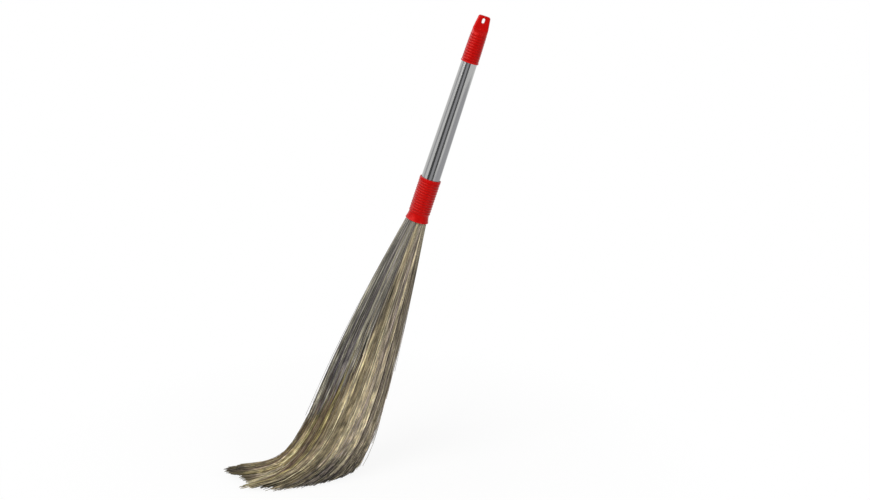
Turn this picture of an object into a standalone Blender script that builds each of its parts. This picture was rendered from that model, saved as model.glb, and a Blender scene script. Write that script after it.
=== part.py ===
"""A soft floor broom: six hanks of long grass, bound with wire and packed into the
foot of a tapered steel tube, with a ribbed collar at the grass and a ribbed hang
cap on top. It stands on its tips, as in use, with the handle leaning to +X and
the grass swept to -X along the floor. Sizes are in metres, and +Z is up."""

import math
import random

import bmesh
import bpy
from mathutils import Matrix, Vector

# The whole broom
clearance = 0.0003
cut_overrun = 0.004
handle_lean = math.radians(18.1)
mouth_height = 0.540
floor_cut = 0.0005

# Collar, from its mouth up
collar_length = 0.088
collar_radius = 0.0204
collar_wall = 0.0016
collar_rib_height = 0.0009
collar_rib_pitch = 0.0054
collar_band = 0.0075
collar_mouth_radius = 0.0235
collar_flare_length = 0.0160
collar_ribs = 12
round_steps = 24
crease_angle = math.radians(35)
# Where a rib's flat crest starts and ends, in shares of its pitch.
rib_crest_shares = (0.28, 0.72)
# Heights of the flare's steps, in shares of its length.
flare_step_shares = (0.15, 0.40, 0.70)

# Handle tube
tube_radius = 0.0187
tube_wall = 0.0007
tube_in_collar = 0.045
tube_shown = 0.238
tube_top_radius = 0.01545
tube_in_cap = 0.026
tube_steps = 40

# Hang cap, from its rim up
cap_length = 0.0915
cap_rim_radius = 0.0176
cap_rim_height = 0.0040
cap_foot_radius = 0.0165
cap_head_radius = 0.0153
cap_rib_height = 0.0006
cap_rib_pitch = 0.0053
cap_ribs = 10
cap_roof = 0.004
cap_roof_radius = 0.0110
cap_rim_edge = 0.0024
tab_width = 0.0300
tab_top_width = 0.0240
tab_thickness = 0.0092
tab_corner = 0.0040
tab_crown = 0.0042
slot_width = 0.0054
slot_length = 0.0098
slot_below_top = 0.0096
recess_width = 0.0078
recess_length = 0.0126
recess_depth = 0.0009
slot_arc_steps = 6
# How the ribbed body narrows: 1 is an even taper, and more than 1 keeps it full for longer.
cap_taper_power = 1.5
# Where the shoulder is half round, and where its flats start, in shares of its length.
shoulder_shares = (0.13, 0.27)
# Steps of the crown's quarter round, in shares of a right angle.
crown_step_shares = (0.35, 0.70, 1.0)

# Binding wire
wire_radius = 0.0006
wire_pitch = 0.0017
wire_turns = 5
wire_turn_points = 16
wire_height = 0.0222

# Grass: its packed butts, inside the collar and the tube
pack_radius = 0.0184
pack_height = 0.0140
waist_radius = 0.0152
waist_height = 0.0210
butt_height = 0.160
stem_spacing = 0.00191
hank_gap = 0.0006
# How far the flat patch of stems reaches before it is trimmed round, in shares of pack_radius.
patch_reach_share = 1.3

# Grass: the loose fan, down to the tips
tip_reach = 0.261
fan_width = 0.226
fan_depth = 0.159
tip_forward = 0.026
front_sweep = 0.061
strand_width = 0.0030
tip_width = 0.0018
settle_reach = 0.005
grass_seed = 13
# Where the short hank ends, and how much shorter the raggedest strand of a hank is, along the fan.
short_hank_share = 0.70
ragged_share = 0.055
# Most strands of a hank are nearly full length: 1 would be an even mix, and more favours the long.
ragged_power = 3
# How far a strand wanders off its place, in shares of a stem's pitch, and where it has got there.
wander_share = 0.14
wandered_share = 0.5
shortest_step_share = 0.05

# Where the fan is steered, from the packed end to the tips, each as a share of mouth_height,
# tip_reach, fan_width, fan_depth, tip_forward and front_sweep, then how much higher the right lies.
fan_station_shares = (
    (0.260, 0.647, 1.12, 0.54, 0.24, 0.00, 0.160),
    (0.067, 0.550, 0.44, 0.67, 0.81, -0.04, -0.034),
    (0.010, 1.000, 1.00, 1.00, 1.00, 1.00, -0.019),
)
# Where along the fan a strand has its cross-sections.
strand_level_shares = (0.0, 0.45, 0.72, 0.88, 1.0)

# The rows and columns of packed stems where one hank ends and the next begins.
front_row = -3
tuft_row = 0
back_row = 3
front_columns = (2, 8)
core_columns = (-3, 4)
back_columns = (-6, 1)

# Finishes: a colour, a roughness and a metallic value
RED_PLASTIC = ((0.50, 0.006, 0.008, 1.0), 0.32, 0.0)
POLISHED_STEEL = ((0.62, 0.62, 0.63, 1.0), 0.18, 1.0)
GALVANISED_WIRE = ((0.45, 0.43, 0.40, 1.0), 0.45, 1.0)
GRASS_ROUGHNESS = 0.75
GRASS_COLOURS = {
    "grass_hank_left": (0.14, 0.125, 0.10, 1.0),
    "grass_hank_tuft": (0.30, 0.26, 0.13, 1.0),
    "grass_hank_front": (0.34, 0.29, 0.15, 1.0),
    "grass_hank_core": (0.20, 0.17, 0.10, 1.0),
    "grass_hank_right": (0.24, 0.20, 0.12, 1.0),
    "grass_hank_back": (0.18, 0.155, 0.095, 1.0),
}

DOWN_HANDLE = Matrix.Translation((0, 0, mouth_height)) @ Matrix.Rotation(handle_lean, 4, "Y")
cap_rim_at = collar_length + tube_shown
triangle_row = math.sqrt(3) / 2


def clear_scene():
    for thing in list(bpy.data.objects):
        bpy.data.objects.remove(thing, do_unlink=True)


def material(name, colour, roughness, metallic):
    made = bpy.data.materials.new(name)
    made.use_nodes = True
    shader = made.node_tree.nodes["Principled BSDF"]
    shader.inputs["Base Color"].default_value = colour
    shader.inputs["Roughness"].default_value = roughness
    shader.inputs["Metallic"].default_value = metallic
    made.diffuse_color = colour
    return made


def empty(name, parent=None):
    made = bpy.data.objects.new(name, None)
    bpy.context.scene.collection.objects.link(made)
    made.parent = parent
    return made


def finished(name, mesh, surface, parent):
    """An object of this mesh, shaded smooth up to the crease angle."""
    mesh.shade_smooth()
    mesh.set_sharp_from_angle(angle=crease_angle)
    mesh.materials.append(surface)
    made = bpy.data.objects.new(name, mesh)
    bpy.context.scene.collection.objects.link(made)
    made.parent = parent
    return made


def mesh_from(bm, name):
    bmesh.ops.recalc_face_normals(bm, faces=bm.faces)
    mesh = bpy.data.meshes.new(name)
    bm.to_mesh(mesh)
    bm.free()
    return mesh


def turned(name, profile, steps):
    """A closed ring: the profile, a closed outline of (radius, height), spun round the handle."""
    bm = bmesh.new()
    corners = [bm.verts.new((radius, 0, height)) for radius, height in profile]
    edges = [bm.edges.new(pair) for pair in zip(corners, corners[1:] + corners[:1])]
    bmesh.ops.spin(
        bm,
        geom=corners + edges,
        axis=(0, 0, 1),
        cent=(0, 0, 0),
        angle=math.tau,
        steps=steps,
        use_merge=True,
    )
    return mesh_from(bm, name)


def ribs(start, pitch, count, radius_at, height):
    """Outline points of raised rings: a sharp valley, then the two shoulders of a flat crest."""
    points = []
    for number in range(count):
        foot = start + number * pitch
        points.append((radius_at(foot), foot))
        for share in rib_crest_shares:
            shoulder = foot + share * pitch
            points.append((radius_at(shoulder) + height, shoulder))
    top = start + count * pitch
    points.append((radius_at(top), top))
    return points


def collar_bore_at(height):
    """The collar's inner radius: it fits the tube, and opens in a quarter wave at the mouth."""
    fit = tube_radius + clearance
    opened = collar_mouth_radius - collar_wall
    share = max(0.0, 1 - height / collar_flare_length)
    return fit + (opened - fit) * (1 - math.cos(share * math.pi / 2))


def collar_outside_at(height):
    share = max(0.0, 1 - height / collar_flare_length)
    return collar_radius + (collar_mouth_radius - collar_radius) * (1 - math.cos(share * math.pi / 2))


def make_collar(surface, parent):
    lip = collar_wall / 2
    rib_start = collar_length - collar_band - collar_ribs * collar_rib_pitch
    flare = [share * collar_flare_length for share in flare_step_shares]
    outline = [(collar_bore_at(0), 0)]
    outline.append((collar_mouth_radius - lip / 2, 0))
    outline.append((collar_mouth_radius, lip))
    outline += [(collar_outside_at(height), height) for height in flare]
    outline += ribs(rib_start, collar_rib_pitch, collar_ribs, lambda at: collar_radius, collar_rib_height)
    outline.append((collar_radius + collar_rib_height, collar_length - collar_band + lip))
    outline.append((collar_radius + collar_rib_height, collar_length - lip))
    outline.append((collar_radius, collar_length))
    outline.append((tube_radius + clearance, collar_length))
    outline.append((tube_radius + clearance, collar_flare_length))
    outline += [(collar_bore_at(height), height) for height in reversed(flare)]
    return finished("collar", turned("collar", outline, round_steps), surface, parent)


def tube_outside_at(height):
    """The tube's outer radius: straight in the collar, then an even taper up to its end."""
    climbed = max(0.0, height - collar_length)
    return tube_radius - (tube_radius - tube_top_radius) * climbed / tube_shown


def make_tube(surface, parent):
    foot = collar_length - tube_in_collar
    head = cap_rim_at + tube_in_cap
    stations = (foot, collar_length, head)
    outline = [(tube_outside_at(height), height) for height in stations]
    outline += [(tube_outside_at(height) - tube_wall, height) for height in reversed(stations)]
    return finished("handle_tube", turned("handle_tube", outline, tube_steps), surface, parent)


def section(height, half_x, half_y, corner, flatness):
    """A ring of the cap: a regular polygon at flatness 0, a rounded rectangle with true flats at 1."""
    per_corner = round_steps // 4
    first = (1 - flatness) * math.pi / round_steps
    ring = []
    for quarter in range(4):
        middle = quarter * math.pi / 2 + math.pi / 4
        side_x = math.copysign(1, math.cos(middle))
        side_y = math.copysign(1, math.sin(middle))
        for number in range(per_corner):
            swing = first + (math.pi / 2 - 2 * first) * number / (per_corner - 1)
            angle = quarter * math.pi / 2 + swing
            x = side_x * (half_x - corner) + corner * math.cos(angle)
            y = side_y * (half_y - corner) + corner * math.sin(angle)
            ring.append(Vector((x, y, height)))
    return ring


def round_section(height, radius):
    return section(height, radius, radius, radius, 0)


def lofted(name, rings):
    """A closed skin through rings of equal counts, the first and last of them filled."""
    bm = bmesh.new()
    corners = [bm.verts.new(point) for point in rings[0]]
    first = bm.faces.new(corners)
    edges = list(first.edges)
    for ring in rings[1:]:
        made = bmesh.ops.extrude_edge_only(bm, edges=edges)["geom"]
        edges = [part for part in made if isinstance(part, bmesh.types.BMEdge)]
        moved = {}
        for edge in edges:
            for corner in edge.verts:
                moved[corner] = corner.co.copy()
        before = rings[rings.index(ring) - 1]
        for corner, place in moved.items():
            number = min(range(len(before)), key=lambda at: (before[at] - place).length)
            corner.co = ring[number]
    bmesh.ops.contextual_create(bm, geom=edges)
    return mesh_from(bm, name)


def cap_outside_at(height):
    """The ribbed body narrows a little faster towards its head."""
    rib_top = cap_rim_height + cap_ribs * cap_rib_pitch
    share = min(1.0, height / rib_top)
    return cap_foot_radius - (cap_foot_radius - cap_head_radius) * share**cap_taper_power


def cap_rings():
    """From the roof of the cap's inside, down its bore, round the rim and up to the crown."""
    bore = tube_outside_at(cap_rim_at) + clearance
    seat = tube_outside_at(cap_rim_at + tube_in_cap) + clearance
    ledge = tube_in_cap + clearance
    rib_top = cap_rim_height + cap_ribs * cap_rib_pitch
    rings = [round_section(rib_top - cap_roof, cap_roof_radius)]
    rings.append(round_section(ledge, seat - tube_wall * 2))
    rings.append(round_section(ledge, seat))
    rings.append(round_section(0, bore))
    rings.append(round_section(0, cap_rim_radius - cap_rib_height))
    rings.append(round_section(cap_rib_height, cap_rim_radius))
    rings.append(round_section(cap_rim_edge, cap_rim_radius))
    for radius, height in ribs(cap_rim_height, cap_rib_pitch, cap_ribs, cap_outside_at, cap_rib_height):
        rings.append(round_section(height, radius))
    return rings + tab_rings(rib_top)


def tab_rings(rib_top):
    """From the last rib up: the round body turns into a flat tab, which narrows to its crown."""
    shoulder = cap_length - rib_top
    half_round_at, flat_at = (rib_top + share * shoulder for share in shoulder_shares)
    thick = tab_thickness / 2
    half_deep = (cap_head_radius + thick) / 2
    rings = [section(half_round_at, cap_head_radius, half_deep, half_deep, 0.5)]
    rings.append(section(flat_at, tab_width / 2, thick, tab_corner, 1))
    rings.append(section(cap_length - tab_crown, tab_top_width / 2, thick, tab_corner, 1))
    for share in crown_step_shares:
        turn = share * math.pi / 2
        side = tab_top_width / 2 - tab_crown * (1 - math.cos(turn))
        deep = thick - tab_crown / 2 * (1 - math.cos(turn))
        height = cap_length - tab_crown * (1 - math.sin(turn))
        rings.append(section(height, side, deep, min(tab_corner, deep - clearance), 1))
    return rings


def slot_cutter(name, width, length, depth, middle, parent):
    """A prism with round ends, along Y, that cuts the slot or its sunk surround."""
    bm = bmesh.new()
    radius = width / 2
    straight = (length - width) / 2
    corners = []
    for end in (1, -1):
        for number in range(slot_arc_steps + 1):
            angle = number * math.pi / slot_arc_steps + (0 if end > 0 else math.pi)
            x = radius * math.cos(angle)
            z = end * straight + radius * math.sin(angle)
            corners.append(bm.verts.new((x, -depth / 2, z)))
    face = bm.faces.new(corners)
    made = bmesh.ops.extrude_face_region(bm, geom=[face], use_keep_orig=True)["geom"]
    raised = [part for part in made if isinstance(part, bmesh.types.BMVert)]
    bmesh.ops.translate(bm, verts=raised, vec=(0, depth, 0))
    bmesh.ops.translate(bm, verts=bm.verts, vec=middle)
    cutter = bpy.data.objects.new(name, mesh_from(bm, name))
    bpy.context.scene.collection.objects.link(cutter)
    cutter.parent = parent
    cutter.hide_render = True
    cutter.display_type = "WIRE"
    return cutter


def cut(body, cutter):
    modifier = body.modifiers.new(cutter.name, "BOOLEAN")
    modifier.operation = "DIFFERENCE"
    modifier.solver = "EXACT"
    modifier.object = cutter


def make_cap(surface, parent):
    cap = finished("hang_cap", lofted("hang_cap", cap_rings()), surface, parent)
    cap.location = (0, 0, cap_rim_at)
    slot_at = cap_rim_at + cap_length - slot_below_top
    through = tab_thickness + 2 * cut_overrun
    cut(cap, slot_cutter("slot_cutter", slot_width, slot_length, through, (0, 0, slot_at), parent))
    for side in (-1, 1):
        middle = (0, side * tab_thickness / 2, slot_at)
        name = "front_recess_cutter" if side < 0 else "back_recess_cutter"
        cut(cap, slot_cutter(name, recess_width, recess_length, recess_depth * 2, middle, parent))
    return cap


def butt_radius_at(height):
    """The bound butts widen evenly from the wire's waist to their ends in the tube."""
    end = tube_outside_at(butt_height) - tube_wall - clearance
    share = (height - waist_height) / (butt_height - waist_height)
    return waist_radius + (end - waist_radius) * share


def wire_points():
    """A helix that stays outside the butts, also at the middle of each straight step."""
    bound = butt_radius_at(wire_height + wire_turns * wire_pitch + wire_radius)
    reach = (bound + clearance + wire_radius) / math.cos(math.pi / wire_turn_points)
    points = []
    for number in range(wire_turns * wire_turn_points + 1):
        turn = number / wire_turn_points
        angle = turn * math.tau
        points.append(Vector((reach * math.cos(angle), reach * math.sin(angle), wire_height + turn * wire_pitch)))
    return points


def least_wire_gap(points):
    """The least space between one turn of the wire and the next, measured on its points."""
    apart = []
    for number, point in enumerate(points):
        later = points[number + wire_turn_points // 2 :]
        apart += [(point - other).length for other in later]
    return min(apart) - 2 * wire_radius


def make_wire(surface, parent):
    curve = bpy.data.curves.new("binding_wire", "CURVE")
    curve.dimensions = "3D"
    curve.bevel_depth = wire_radius
    curve.bevel_resolution = 1
    curve.use_fill_caps = True
    points = wire_points()
    print(f"binding_wire: least gap to itself {least_wire_gap(points) * 1000:.2f} mm")
    spline = curve.splines.new("POLY")
    spline.points.add(len(points) - 1)
    for place, point in zip(spline.points, points):
        place.co = (*point, 1)
    curve.materials.append(surface)
    made = bpy.data.objects.new("binding_wire", curve)
    bpy.context.scene.collection.objects.link(made)
    made.parent = parent
    return made


def hank_of(column, row):
    """The hank that a packed stem belongs to, by its place in the bundle."""
    if row < front_row:
        return ("tuft", "front", "right")[sum(column >= edge for edge in front_columns)]
    if row < back_row:
        outer = "tuft" if row < tuft_row else "left"
        return (outer, "core", "right")[sum(column >= edge for edge in core_columns)]
    return ("left", "back", "right")[sum(column >= edge for edge in back_columns)]


def packed_stems():
    """A flat patch of even triangles that fills the bundle's round cross-section."""
    bm = bmesh.new()
    across = 2 * math.ceil(patch_reach_share * pack_radius / stem_spacing)
    half = across * stem_spacing / 2
    bmesh.ops.create_grid(bm, x_segments=across, y_segments=across, size=half)
    skew = Matrix(((1, 0.5, 0, 0), (0, triangle_row, 0, 0), (0, 0, 1, 0), (0, 0, 0, 1)))
    bmesh.ops.transform(bm, matrix=skew, verts=bm.verts)
    bmesh.ops.triangulate(bm, faces=bm.faces, quad_method="SHORT_EDGE")
    return bm


def cell_of(face):
    """The column and row of the packed stem that this triangle is half of."""
    middle = face.calc_center_median()
    row = middle.y / (stem_spacing * triangle_row)
    column = middle.x / stem_spacing - row / 2
    return math.floor(column), math.floor(row)


def keep_one_hank(bm, name):
    outside = []
    for face in bm.faces:
        far = max(corner.co.length for corner in face.verts) > pack_radius
        if far or hank_of(*cell_of(face)) != name:
            outside.append(face)
    bmesh.ops.delete(bm, geom=outside, context="FACES")


def drop_pinches(bm):
    """Removes faces that hang on by one corner, which would leave an edge shared by four walls."""
    while True:
        pinched = [v for v in bm.verts if sum(edge.is_boundary for edge in v.link_edges) > 2]
        loose = [face for face in bm.faces if all(edge.is_boundary for edge in face.edges)]
        if not pinched and not loose:
            return
        for corner in pinched[:1]:
            loose.append(max(corner.link_faces, key=lambda face: sum(e.is_boundary for e in face.edges)))
        bmesh.ops.delete(bm, geom=list(set(loose)), context="FACES")


def points_up(face):
    """Whether this triangle has its flat edge at the front: such a triangle grows a strand."""
    rows = sorted(corner.co.y for corner in face.verts)
    return rows[1] - rows[0] < rows[2] - rows[1]


def draw_in(bm):
    """Shrinks the patch about its own middle, so that the hanks don't touch."""
    middle = sum((corner.co for corner in bm.verts), Vector()) / len(bm.verts)
    width = max((corner.co - middle).length for corner in bm.verts) * 2
    share = 1 - 2 * hank_gap / width
    bmesh.ops.scale(bm, verts=bm.verts, vec=(share, share, share), space=Matrix.Translation(-middle))


def raise_butts(bm):
    """Extrudes the patch upward through the wire's waist and into the tube."""
    top, covered = list(bm.faces), []
    radius_now, height_now = pack_radius, pack_height
    for height in (waist_height, butt_height):
        radius = butt_radius_at(height)
        made = bmesh.ops.extrude_face_region(bm, geom=top, use_keep_orig=True)["geom"]
        bmesh.ops.delete(bm, geom=covered, context="FACES")
        top = covered = [part for part in made if isinstance(part, bmesh.types.BMFace)]
        corners = list({corner for face in top for corner in face.verts})
        share = radius / radius_now
        bmesh.ops.scale(bm, verts=corners, vec=(share, share, 1))
        bmesh.ops.translate(bm, verts=corners, vec=(0, 0, height - height_now))
        radius_now, height_now = radius, height
    bmesh.ops.dissolve_faces(bm, faces=top)


def station(number, right, back):
    """A steering point of the fan for a stem that lies this share to the right and to the back."""
    if number == 0:
        return DOWN_HANDLE @ Vector((right * pack_radius, back * pack_radius, pack_height))
    height, reach, width, depth, forward, sweep, rise = fan_station_shares[number - 1]
    x = -reach * tip_reach + right * width * fan_width / 2 + back * sweep * front_sweep
    y = -forward * tip_forward + back * depth * fan_depth / 2
    z = (height + rise * right) * mouth_height
    return Vector((x, y, z))


def fan_point(right, back, share):
    """A cubic curve through the fan: every strand follows it from its own place in the bundle."""
    rest = 1 - share
    weights = (rest**3, 3 * rest**2 * share, 3 * rest * share**2, share**3)
    return sum((weight * station(number, right, back) for number, weight in enumerate(weights)), Vector())


def along_levels(places, share):
    """A place between two levels, on the straight line that joins them."""
    for first, last, start, end in zip(strand_level_shares, strand_level_shares[1:], places, places[1:]):
        if share <= last:
            return start.lerp(end, (share - first) / (last - first))
    return places[-1]


def strand_path(right, back, ends_at, drift):
    """The middles of one strand's cross-sections, and how far along each of them is."""
    pitch = stem_spacing / pack_radius
    places = []
    for share in strand_level_shares:
        aside = wander_share * pitch * min(1.0, share / wandered_share)
        places.append(fan_point(right + drift[0] * aside, back + drift[1] * aside, share))
    shares = [share for share in strand_level_shares if share < ends_at - shortest_step_share]
    shares.append(ends_at)
    return [along_levels(places, share) for share in shares], shares


def width_at(share, ends_at):
    """A strand starts as wide as its stem, fills out down to the middle and thins to its tip."""
    if share >= ends_at:
        return tip_width
    return stem_spacing + (strand_width - stem_spacing) * min(1.0, share / strand_level_shares[1])


def cross_axes(direction):
    """Two directions square to the strand: one to the right, one to the back."""
    right = direction.cross(Vector((0, 1, 0))).normalized()
    return right, right.cross(direction).normalized()


def grow_strand(bm, face, ends_at, drift):
    """Extrudes one triangle along its path. Its corners keep their places round the strand."""
    middle = face.calc_center_median()
    packed = DOWN_HANDLE.inverted() @ middle
    path, shares = strand_path(packed.x / pack_radius, packed.y / pack_radius, ends_at, drift)
    path[0] = middle
    axes = cross_axes(path[1] - path[0])
    width = width_at(0, ends_at)
    for number in range(1, len(path)):
        face = bmesh.ops.extrude_discrete_faces(bm, faces=[face])["faces"][0]
        onward = path[min(number + 1, len(path) - 1)] - path[number - 1]
        turned_axes = cross_axes(onward)
        new_width = width_at(shares[number], ends_at)
        for corner in face.verts:
            offset = corner.co - path[number - 1]
            places = [offset.dot(axis) * new_width / width for axis in axes]
            corner.co = path[number] + places[0] * turned_axes[0] + places[1] * turned_axes[1]
        axes, width = turned_axes, new_width
    return face


def settle_on_floor(face):
    """Brings a tip that nearly reaches the floor down until the floor cuts it, as weight presses it flat."""
    lowest = min(corner.co.z for corner in face.verts)
    if lowest < settle_reach:
        for corner in face.verts:
            corner.co.z -= lowest + floor_cut


def cut_at_floor(bm):
    everything = list(bm.verts) + list(bm.edges) + list(bm.faces)
    cut_result = bmesh.ops.bisect_plane(
        bm, geom=everything, plane_co=(0, 0, 0), plane_no=(0, 0, -1), clear_outer=True
    )
    edges = [part for part in cut_result["geom_cut"] if isinstance(part, bmesh.types.BMEdge)]
    if edges:
        bmesh.ops.edgeloop_fill(bm, edges=edges)


def make_hank(name, surface, chance, parent):
    """One hank, from the cut ends of its stems to its tips. The left one is short and ends in the air."""
    bm = packed_stems()
    keep_one_hank(bm, name)
    drop_pinches(bm)
    draw_in(bm)
    growing = [face for face in bm.faces if points_up(face)]
    raise_butts(bm)
    lift = DOWN_HANDLE @ Matrix.Translation((0, 0, pack_height))
    bmesh.ops.transform(bm, matrix=lift, verts=bm.verts)
    ending = short_hank_share if name == "left" else 1.0
    for face in growing:
        ends_at = ending - ragged_share * chance.random() ** ragged_power
        bearing, strength = chance.uniform(0, math.tau), chance.random()
        drift = (strength * math.cos(bearing), strength * math.sin(bearing))
        tip = grow_strand(bm, face, ends_at, drift)
        if name == "left":
            bmesh.ops.pointmerge(bm, verts=tip.verts, merge_co=tip.calc_center_median())
        else:
            settle_on_floor(tip)
    cut_at_floor(bm)
    mesh = mesh_from(bm, "grass_hank_" + name)
    print(f"grass_hank_{name}: {len(growing)} strands")
    finished("grass_hank_" + name, mesh, surface, parent)
    return len(growing)


def stand_over_origin(root):
    """Moves the broom sideways until the middle of its box stands over the origin."""
    bpy.context.view_layer.update()
    graph = bpy.context.evaluated_depsgraph_get()
    corners = []
    for thing in bpy.data.objects:
        if thing.type not in ("MESH", "CURVE") or thing.hide_render:
            continue
        shape = thing.evaluated_get(graph)
        mesh = shape.to_mesh()
        corners += [shape.matrix_world @ corner.co for corner in mesh.vertices]
        shape.to_mesh_clear()
    for axis in (0, 1):
        places = [corner[axis] for corner in corners]
        root.location[axis] = -(min(places) + max(places)) / 2


def build():
    clear_scene()
    broom = empty("broom")
    handle = empty("handle_axis", broom)
    handle.matrix_local = DOWN_HANDLE
    red = material("red_plastic", *RED_PLASTIC)
    make_cap(red, handle)
    make_collar(red, handle)
    make_tube(material("polished_steel", *POLISHED_STEEL), handle)
    make_wire(material("galvanised_wire", *GALVANISED_WIRE), handle)
    chance = random.Random(grass_seed)
    strands = 0
    for name, colour in GRASS_COLOURS.items():
        surface = material(name + "_straw", colour, GRASS_ROUGHNESS, 0.0)
        strands += make_hank(name.removeprefix("grass_hank_"), surface, chance, broom)
    print(f"{strands} strands in all")
    stand_over_origin(broom)


build()
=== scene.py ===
# %% [markdown]
# # A soft grass broom
# A broom like this has a steel tube for a handle, two red mouldings and a thick
# bundle of long dry grass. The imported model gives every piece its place, so this
# script only makes the pieces look like the real ones. All lengths are in metres.

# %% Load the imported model
import math
import random

import bmesh
import bpy
from mathutils import Matrix, Vector, noise


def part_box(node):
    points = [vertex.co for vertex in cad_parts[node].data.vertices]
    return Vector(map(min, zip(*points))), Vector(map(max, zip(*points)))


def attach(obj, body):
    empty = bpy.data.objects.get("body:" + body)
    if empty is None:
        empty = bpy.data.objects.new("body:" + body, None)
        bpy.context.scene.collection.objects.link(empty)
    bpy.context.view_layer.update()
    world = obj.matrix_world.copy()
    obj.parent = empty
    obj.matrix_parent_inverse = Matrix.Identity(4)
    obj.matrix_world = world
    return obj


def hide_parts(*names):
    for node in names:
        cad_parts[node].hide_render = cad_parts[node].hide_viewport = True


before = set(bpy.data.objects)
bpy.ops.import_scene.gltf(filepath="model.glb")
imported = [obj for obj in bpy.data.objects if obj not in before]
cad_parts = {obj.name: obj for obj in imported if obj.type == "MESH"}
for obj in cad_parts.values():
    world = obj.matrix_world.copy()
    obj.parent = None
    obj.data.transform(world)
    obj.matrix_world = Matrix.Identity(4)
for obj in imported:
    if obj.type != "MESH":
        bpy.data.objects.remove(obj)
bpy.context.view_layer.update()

# %% [markdown]
# ## Where the handle stands
# The collar, tube and cap share one straight axis, and it leans. Its lower end is
# the collar's mouth. The tube's box gives that point: the tube starts a known
# distance up the axis, and its two lowest corners are one radius off the axis.

# %% Find the handle's axis
HANDLE_LEAN = math.radians(18.1)
TUBE_FOOT = 0.043
TUBE_RADIUS = 0.0187
tube_low, tube_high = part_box("handle_tube")
lean_sine, lean_cosine = math.sin(HANDLE_LEAN), math.cos(HANDLE_LEAN)
mouth = Vector((
    tube_low.x + TUBE_RADIUS * lean_cosine - TUBE_FOOT * lean_sine,
    (tube_low.y + tube_high.y) / 2,
    tube_low.z + TUBE_RADIUS * lean_sine - TUBE_FOOT * lean_cosine,
))
ON_HANDLE = Matrix.Translation(mouth) @ Matrix.Rotation(HANDLE_LEAN, 4, "Y")
print("collar mouth", [round(v, 4) for v in mouth])

# %% [markdown]
# ## The camera
# The photograph looks a little down on the broom from about two and a half metres
# away. That is far enough that the handle hardly narrows by perspective. A camera
# can be placed by eye, but this one is measured from the collar's mouth, so that
# the broom stays where it is in the picture.

# %% Set up the camera
CAMERA_LENS = 52.3
CAMERA_ASIDE, CAMERA_AWAY, CAMERA_HEIGHT = 0.0358, 2.4, 1.2
CAMERA_LOOKS_DOWN = 16.75
camera_data = bpy.data.cameras.new("camera")
camera_data.lens = CAMERA_LENS
camera_data.sensor_width = 36
camera = bpy.data.objects.new("camera", camera_data)
camera.location = (mouth.x + CAMERA_ASIDE, mouth.y - CAMERA_AWAY, CAMERA_HEIGHT)
camera.rotation_euler = (math.radians(90 - CAMERA_LOOKS_DOWN), 0, 0)
bpy.context.scene.collection.objects.link(camera)
bpy.context.scene.camera = camera
bpy.context.scene.view_settings.view_transform = "Standard"
print("camera", [round(v, 3) for v in camera.location])

# %% [markdown]
# ## Small helpers
# A colour is easiest to write as the hex value that a paint chart or a screen
# shows. The renderer wants linear light, so one function turns it. Another adds
# a shader node with its settings and links in one call.

# %% Colours and nodes
COLOURS = {"data_type": "RGBA"}
TIMES = {"operation": "MULTIPLY"}
LARGER = {"operation": "MAXIMUM"}


def linear(hex_colour):
    """The linear colour of an sRGB hex value such as 'C8A060'."""
    channels = [int(hex_colour[at:at + 2], 16) / 255 for at in (0, 2, 4)]
    curved = [c / 12.92 if c <= 0.04045 else ((c + 0.055) / 1.055) ** 2.4 for c in channels]
    return (*curved, 1.0)


def set_inputs(tree, target, **values):
    """Gives a node's inputs a value each, or links them to the socket of another node.

    An input goes by its name, with _ for a space, or by i and its number.
    """
    for name, value in values.items():
        numbered = name[0] == "i" and name[1:].isdigit()
        entry = target.inputs[int(name[1:]) if numbered else name.replace("_", " ")]
        if isinstance(value, bpy.types.NodeSocket):
            tree.links.new(value, entry)
        else:
            entry.default_value = value


def node(tree, kind, settings=None, **values):
    """Adds a node. Its kind is the part of its type that follows ShaderNode."""
    made = tree.nodes.new("ShaderNode" + kind)
    for name, value in (settings or {}).items():
        setattr(made, name, value)
    set_inputs(tree, made, **values)
    return made


def new_material(name):
    """An empty node material, with its tree and its surface shader."""
    material = bpy.data.materials.new(name)
    material.use_nodes = True
    tree = material.node_tree
    return material, tree, tree.nodes["Principled BSDF"]


def clamp(value):
    """The value, kept between 0 and 1."""
    return max(0.0, min(1.0, value))


# %% [markdown]
# A mesh is built as a bmesh, whose operators extrude, spin and cut it. The first
# function below turns it into an object. The second one is for the pieces of the
# broom: each rides on the broom's body, gets its material and says which solid of
# the imported model it replaces.

# %% Objects and pieces
def new_object(name, bm, material=None):
    """Turns a bmesh into an object of the scene."""
    mesh = bpy.data.meshes.new(name)
    bm.to_mesh(mesh)
    bm.free()
    if material:
        mesh.materials.append(material)
    made = bpy.data.objects.new(name, mesh)
    bpy.context.scene.collection.objects.link(made)
    return made


def finish_piece(name, bm, look, replaced, sharp_angle=40):
    """Makes a smooth piece of a bmesh in its place. Its look is (material, slot); the slot is not
    used.
    """
    material, slot = look
    piece = new_object(name, bm, material)
    piece.data.shade_smooth()
    if sharp_angle:
        piece.data.set_sharp_from_angle(angle=math.radians(sharp_angle))
    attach(piece, "root")
    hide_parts(replaced)
    print(f"{name}: {len(piece.data.polygons)} faces")


# %% [markdown]
# ## The light
# A plain studio: a bright even room, one large soft lamp high on the left and a
# weaker one on the right. A picture of a real studio could light the broom too,
# but lamps can be moved and dimmed one by one. What the camera, gloss and glass see
# of the room is white. The light that it casts on things is weaker, so that they
# keep their shading.

# %% Light the room
ROOM_LIGHT = 0.36
LAMPS_AIM = Vector((0, 0, 0.45))


def seen_directly(tree):
    """1 for what the camera, gloss or glass sees, and 0 for the light that falls on things."""
    rays = node(tree, "LightPath").outputs
    seen = node(tree, "Math", LARGER, i0=rays["Is Camera Ray"], i1=rays["Is Glossy Ray"])
    through = node(tree, "Math", LARGER, i0=seen.outputs[0], i1=rays["Is Transmission Ray"])
    return through.outputs[0]


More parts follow.
